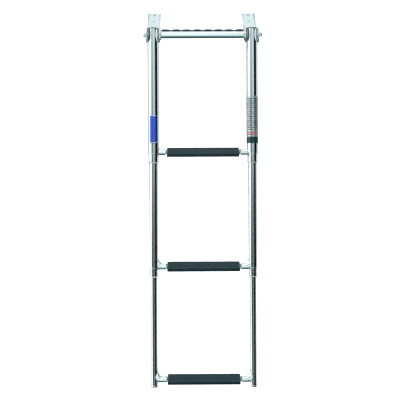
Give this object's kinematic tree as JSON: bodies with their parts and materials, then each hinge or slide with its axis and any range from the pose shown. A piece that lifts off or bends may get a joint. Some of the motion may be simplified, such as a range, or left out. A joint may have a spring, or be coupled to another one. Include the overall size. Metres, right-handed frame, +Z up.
{
  "type": "boarding ladder",
  "caption": "Telescoping boat boarding ladder with deck brackets, a hinge, a grab tube with a black grip, and ribbed treads on steel side tubes.",
  "frame": {"origin": "on the deck face, midway between the two brackets, straight below the hinge axis", "axes": "+X across the ladder, +Y inboard over the deck along the brackets, +Z up; the ladder hangs down and leans towards -Y"},
  "size_m": [0.3314, 0.7046, 0.883],
  "materials": {
    "polished_steel": "mirror polished 316 stainless tube",
    "satin_steel": "satin pressed plate, fasteners",
    "black_plastic": "moulded, fine ribs",
    "nylon": "moulded natural nylon",
    "label_blue": "printed film, blank",
    "label_grey": "printed film, blank"
  },
  "bodies": {
    "deck_mount": {"bracket_left": "satin_steel", "bracket_right": "satin_steel", "grab_flange_left": "satin_steel", "grab_flange_right": "satin_steel", "grab_grip": "black_plastic", "grab_tube": "polished_steel", "hinge_nut_left": "satin_steel", "hinge_nut_right": "satin_steel", "hinge_rod": "satin_steel", "hinge_washer_left": "satin_steel", "hinge_washer_right": "satin_steel"},
    "upper_section": {"label_left": "label_blue", "label_right": "label_grey", "pivot_bush_left": "nylon", "pivot_bush_right": "nylon", "upper_cap_left": "black_plastic", "upper_cap_right": "black_plastic", "upper_collar_left": "polished_steel", "upper_collar_right": "polished_steel", "upper_liner_left": "nylon", "upper_liner_right": "nylon", "upper_rung": "polished_steel", "upper_tread": "black_plastic", "upper_tread_screw_left": "satin_steel", "upper_tread_screw_right": "satin_steel", "upper_tube_left": "polished_steel", "upper_tube_right": "polished_steel"},
    "middle_section": {"middle_collar_left": "polished_steel", "middle_collar_right": "polished_steel", "middle_liner_left": "nylon", "middle_liner_right": "nylon", "middle_rung": "polished_steel", "middle_stop_left": "nylon", "middle_stop_right": "nylon", "middle_tread": "black_plastic", "middle_tread_screw_left": "satin_steel", "middle_tread_screw_right": "satin_steel", "middle_tube_left": "polished_steel", "middle_tube_right": "polished_steel"},
    "lower_section": {"foot_left": "polished_steel", "foot_right": "polished_steel", "lower_rung": "polished_steel", "lower_stop_left": "nylon", "lower_stop_right": "nylon", "lower_tread": "black_plastic", "lower_tread_screw_left": "satin_steel", "lower_tread_screw_right": "satin_steel", "lower_tube_left": "polished_steel", "lower_tube_right": "polished_steel"}
  },
  "joints": [
    {"name": "ladder_hinge", "type": "hinge", "parent": "deck_mount", "child": "upper_section", "pos_m": [0, 0, 0.0255], "axis": [-1, 0, 0], "range_deg": [0, 242]},
    {"name": "middle_slide", "type": "slide", "parent": "upper_section", "child": "middle_section", "axis": [0, 0.4695, 0.8829], "range_m": [0, 0.235]},
    {"name": "lower_slide", "type": "slide", "parent": "middle_section", "child": "lower_section", "axis": [0, 0.4695, 0.8829], "range_m": [0, 0.235]}
  ]
}
